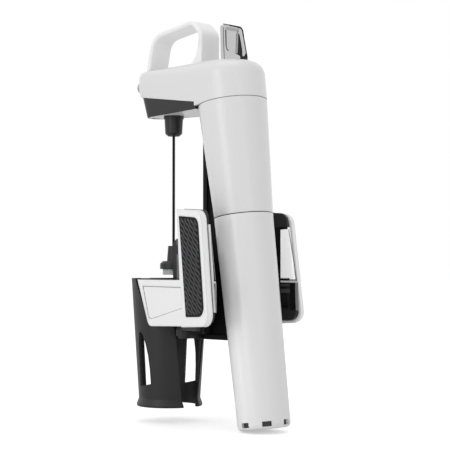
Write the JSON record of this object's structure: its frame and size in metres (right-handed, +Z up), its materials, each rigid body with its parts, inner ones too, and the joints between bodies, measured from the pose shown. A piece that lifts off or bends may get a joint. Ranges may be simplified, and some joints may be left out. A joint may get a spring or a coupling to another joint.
{
  "type": "wine_dispenser",
  "caption": "Handheld wine dispenser: leaning white tube with gas capsule, head with loop handle, chrome trigger, needle and spout, and a sliding clamp with two winged jaws",
  "frame": {"origin": "On the needle's axis, level with the mouth of the bottle and the top of the two neck pads", "axes": "Right-handed, in metres: +Z up along the needle and rail, +Y towards the spout, X across, with the left wing at -X"},
  "size_m": [0.0814, 0.1233, 0.2454],
  "materials": {
    "white_shell": "smooth moulded, semi-gloss",
    "black_plastic": "fine moulded texture",
    "chrome_trigger": "bright plated",
    "steel": "ground",
    "aluminium": "turned",
    "brass": "machined",
    "coated_needle": "low-friction coating on steel",
    "rubber": "soft, fine grain",
    "natural_plastic": "unpainted, translucent"
  },
  "bodies": {
    "housing": {"head_shell": "white_shell", "mid_housing": "white_shell", "handle_loop": "white_shell", "trigger_pin": "steel", "trigger_spring": "steel", "spout": "steel", "head_surround": "black_plastic", "underside_plate": "white_shell", "needle_hub": "black_plastic", "needle": "coated_needle", "manifold": "black_plastic", "regulator_block": "brass", "piercing_pin": "steel", "regulator_seal": "rubber", "gas_tube": "steel", "guide_rail": "black_plastic", "rail_screws": "steel"},
    "trigger": {"trigger": "chrome_trigger"},
    "valve": {"valve_plunger": "steel"},
    "capsule": {"argon_capsule": "steel"},
    "cup": {"capsule_cup": "white_shell", "cup_thread_ring": "aluminium", "cup_cushion": "rubber"},
    "carriage": {"carriage": "black_plastic", "needle_guide": "black_plastic", "guide_disc": "natural_plastic", "left_hinge_pin": "steel", "right_hinge_pin": "steel", "left_jaw_spring": "steel", "right_jaw_spring": "steel"},
    "left_jaw": {"left_jaw": "black_plastic", "left_wing_shell": "white_shell", "left_grip": "rubber", "left_wing_liner": "white_shell", "left_neck_pad": "rubber"},
    "right_jaw": {"right_jaw": "black_plastic", "right_wing_shell": "white_shell", "right_grip": "rubber", "right_wing_liner": "white_shell", "right_neck_pad": "rubber"}
  },
  "joints": [
    {"name": "trigger_press", "type": "hinge", "parent": "housing", "child": "trigger", "pos_m": [0, -0.057, 0.122], "axis": [-1, 0, 0], "range_deg": [0, 8], "stiffness_Nm_per_rad": 0.05, "springref_deg": -28.65},
    {"name": "valve_stroke", "type": "slide", "parent": "housing", "child": "valve", "axis": [0, -0.134, -0.991], "range_m": [0, 0.0012], "deforming": ["trigger_spring"]},
    {"name": "cup_turn", "type": "hinge", "parent": "capsule", "child": "cup", "pos_m": [0, -0.0658, 0], "axis": [0, -0.134, -0.991], "range_deg": [0, 1800]},
    {"name": "capsule_travel", "type": "slide", "parent": "housing", "child": "capsule", "axis": [0, -0.134, -0.991], "range_m": [0, 0.01]},
    {"name": "carriage_slide", "type": "slide", "parent": "housing", "child": "carriage", "axis": [0, 0, 1], "range_m": [0, 0.0635]},
    {"name": "left_jaw_open", "type": "hinge", "parent": "carriage", "child": "left_jaw", "pos_m": [-0.0155, -0.0255, 0], "axis": [0, 0, 1], "range_deg": [0, 10], "stiffness_Nm_per_rad": 0.5, "springref_deg": -17.19},
    {"name": "right_jaw_open", "type": "hinge", "parent": "carriage", "child": "right_jaw", "pos_m": [0.0155, -0.0255, 0], "axis": [0, 0, -1], "range_deg": [0, 10], "stiffness_Nm_per_rad": 0.5, "springref_deg": -17.19}
  ],
  "couplings": [
    {"joint": "valve_stroke", "follows": "trigger_press", "m_per_rad": 0.0077},
    {"joint": "cup_turn", "follows": "capsule_travel", "rad_per_m": 3140}
  ]
}
